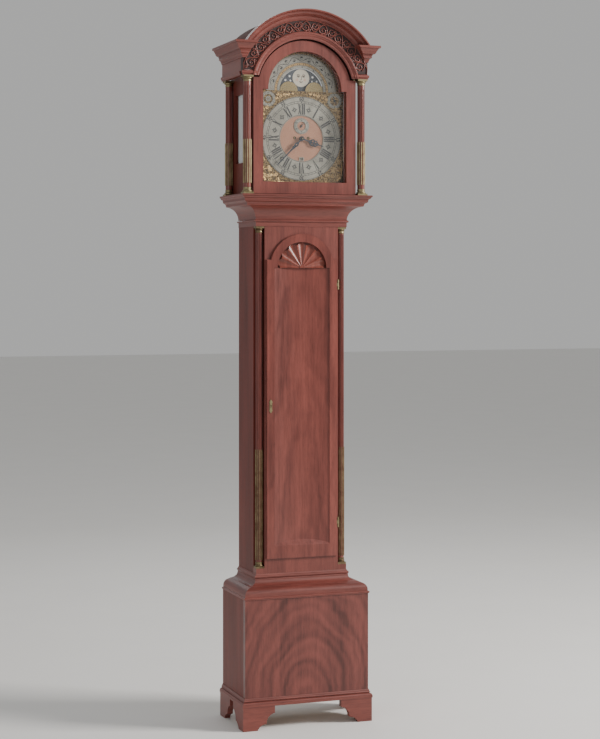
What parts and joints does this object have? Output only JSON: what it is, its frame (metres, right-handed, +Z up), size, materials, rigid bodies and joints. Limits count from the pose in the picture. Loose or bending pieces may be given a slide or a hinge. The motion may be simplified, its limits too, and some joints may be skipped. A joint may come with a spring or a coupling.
{
  "type": "grandfather clock",
  "caption": "Tall-case clock: plinth base, trunk with a long shell-carved door, sliding arched hood, brass dial with moon disc, weights and pendulum.",
  "frame": {"origin": "centre of the footprint box on the floor", "axes": "+Z up, the dial faces -Y, +X to the viewer's right"},
  "size_m": [0.52, 0.27, 2.4189],
  "materials": {
    "mahogany": "satin wax over pink-red stain",
    "mahogany_figured": "satin, crotch-figured",
    "pine": "bare",
    "brass": "aged satin",
    "gilt": "lacquered gilt",
    "silvered": "matt silvering",
    "bell_metal": "satin",
    "steel": "satin",
    "blued_steel": "blued satin",
    "painted_disc": "satin paint",
    "dark_backing": "dark stained",
    "glass": "clear",
    "iron": "painted",
    "gut": "natural"
  },
  "bodies": {
    "case": {"bracket_feet": "mahogany", "foot_moulding": "mahogany", "base_front": "mahogany_figured", "base_sides": "mahogany", "inner_boards": "pine", "waist_moulding": "mahogany", "trunk_sides": "mahogany", "trunk_frame": "mahogany", "trunk_columns": "mahogany", "trunk_column_brass": "brass", "throat_moulding": "mahogany", "seat_board": "pine", "trunk_hinges": "brass", "dial_plate": "brass", "chapter_ring": "silvered", "dial_rings": "silvered", "spandrels": "gilt", "arch_band": "silvered", "movement_plates": "brass", "bell": "bell_metal", "going_line": "gut", "strike_line": "gut"},
    "trunk_door": {"trunk_door": "mahogany_figured", "door_shell": "mahogany", "door_escutcheon": "brass", "door_lock": "brass", "door_hinges": "brass"},
    "lock_bolt": {"lock_bolt": "steel"},
    "hood": {"hood_base": "mahogany", "hood_sides": "mahogany", "hood_side_glass": "glass", "hood_mask": "mahogany", "hood_arch_front": "dark_backing", "hood_fret": "mahogany", "hood_architrave": "mahogany", "hood_cornice": "mahogany", "hood_roof": "mahogany", "hood_columns": "mahogany", "hood_column_brass": "brass"},
    "hood_door": {"hood_door": "mahogany", "hood_door_glass": "glass", "hood_door_hinges": "brass"},
    "minute_hand": {"minute_hand": "blued_steel"},
    "hour_hand": {"hour_hand": "blued_steel"},
    "motion_wheel": {"motion_wheel": "brass"},
    "escape_wheel": {"escape_wheel": "brass", "seconds_hand": "blued_steel"},
    "third_wheel": {"third_wheel": "brass"},
    "centre_wheel": {"centre_wheel": "brass"},
    "great_wheel": {"great_wheel": "brass"},
    "going_drum": {"going_drum": "brass"},
    "strike_drum": {"strike_drum": "brass"},
    "anchor": {"anchor": "steel"},
    "pendulum": {"pendulum": "brass"},
    "hammer": {"hammer": "steel"},
    "moon_disc": {"moon_disc": "painted_disc"},
    "date_disc": {"date_disc": "silvered"},
    "strike_pointer": {"strike_pointer": "blued_steel"},
    "going_weight": {"going_weight": "iron"},
    "strike_weight": {"strike_weight": "iron"}
  },
  "joints": [
    {"name": "trunk_door_swing", "type": "hinge", "parent": "case", "child": "trunk_door", "pos_m": [0.1316, -0.059, 1.075], "axis": [0, 0, 1], "range_deg": [0, 105]},
    {"name": "lock_bolt_throw", "type": "slide", "parent": "trunk_door", "child": "lock_bolt", "axis": [-1, 0, 0], "range_m": [0, 0.006]},
    {"name": "hood_slide", "type": "slide", "parent": "case", "child": "hood", "axis": [0, -1, 0], "range_m": [0, 0.28]},
    {"name": "hood_door_swing", "type": "hinge", "parent": "hood", "child": "hood_door", "pos_m": [0.18, -0.087, 2], "axis": [0, 0, 1], "range_deg": [0, 90]},
    {"name": "minute_turn", "type": "hinge", "parent": "case", "child": "minute_hand", "pos_m": [0, -0.045, 1.987], "axis": [0, 1, 0], "continuous": true},
    {"name": "hour_turn", "type": "hinge", "parent": "case", "child": "hour_hand", "pos_m": [0, -0.045, 1.987], "axis": [0, 1, 0], "continuous": true},
    {"name": "motion_wheel_turn", "type": "hinge", "parent": "case", "child": "motion_wheel", "pos_m": [0, -0.04, 1.96555], "axis": [0, 1, 0], "continuous": true},
    {"name": "centre_turn", "type": "hinge", "parent": "case", "child": "centre_wheel", "pos_m": [0, -0.003, 1.987], "axis": [0, 1, 0], "continuous": true},
    {"name": "great_wheel_turn", "type": "hinge", "parent": "case", "child": "great_wheel", "pos_m": [0.0245, -0.003, 1.989], "axis": [0, 1, 0], "continuous": true},
    {"name": "third_turn", "type": "hinge", "parent": "case", "child": "third_wheel", "pos_m": [0.00844, -0.003, 2.00921], "axis": [0, 1, 0], "continuous": true},
    {"name": "escape_turn", "type": "hinge", "parent": "case", "child": "escape_wheel", "pos_m": [0, -0.003, 2.03], "axis": [0, 1, 0], "continuous": true},
    {"name": "moon_turn", "type": "hinge", "parent": "case", "child": "moon_disc", "pos_m": [0, -0.047, 2.148], "axis": [0, 1, 0], "continuous": true},
    {"name": "date_turn", "type": "hinge", "parent": "case", "child": "date_disc", "pos_m": [0, -0.048, 1.941], "axis": [0, 1, 0], "continuous": true},
    {"name": "pendulum_swing", "type": "hinge", "parent": "case", "child": "pendulum", "pos_m": [0, 0.069, 2.0555], "axis": [0, 1, 0], "range_deg": [-3, 3]},
    {"name": "anchor_rock", "type": "hinge", "parent": "case", "child": "anchor", "pos_m": [0, -0.003, 2.0555], "axis": [0, 1, 0], "range_deg": [-3, 3]},
    {"name": "hammer_swing", "type": "hinge", "parent": "case", "child": "hammer", "pos_m": [-0.044, -0.003, 2.071], "axis": [0, 1, 0], "range_deg": [-20, 3.5], "stiffness_Nm_per_rad": 0.05},
    {"name": "strike_pointer_turn", "type": "hinge", "parent": "case", "child": "strike_pointer", "pos_m": [0.12, -0.053, 2.119], "axis": [0, 1, 0], "range_deg": [0, 100]},
    {"name": "going_weight_run", "type": "slide", "parent": "case", "child": "going_weight", "axis": [0, 0, 1], "range_m": [-0.5, 0.33], "deforming": ["going_line"]},
    {"name": "going_drum_turn", "type": "hinge", "parent": "case", "child": "going_drum", "pos_m": [0.0245, -0.003, 1.989], "axis": [0, 1, 0], "range_deg": [-2383.32, 3608.51]},
    {"name": "strike_weight_run", "type": "slide", "parent": "case", "child": "strike_weight", "axis": [0, 0, 1], "range_m": [-0.5, 0.33], "deforming": ["strike_line"]},
    {"name": "strike_drum_turn", "type": "hinge", "parent": "case", "child": "strike_drum", "pos_m": [-0.0245, -0.003, 1.989], "axis": [0, 1, 0], "range_deg": [-3608.51, 2383.32]}
  ],
  "couplings": [
    {"joint": "hour_turn", "follows": "minute_turn", "ratio": 0.083333},
    {"joint": "motion_wheel_turn", "follows": "minute_turn", "ratio": -1},
    {"joint": "centre_turn", "follows": "minute_turn", "ratio": 1},
    {"joint": "great_wheel_turn", "follows": "minute_turn", "ratio": -0.083333},
    {"joint": "third_turn", "follows": "minute_turn", "ratio": -8},
    {"joint": "escape_turn", "follows": "minute_turn", "ratio": 60},
    {"joint": "moon_turn", "follows": "minute_turn", "ratio": 0.00070621},
    {"joint": "date_turn", "follows": "minute_turn", "ratio": 0.0013441},
    {"joint": "anchor_rock", "follows": "pendulum_swing", "ratio": 1},
    {"joint": "going_drum_turn", "follows": "going_weight_run", "rad_per_m": -125.79},
    {"joint": "strike_drum_turn", "follows": "strike_weight_run", "rad_per_m": 125.79}
  ]
}
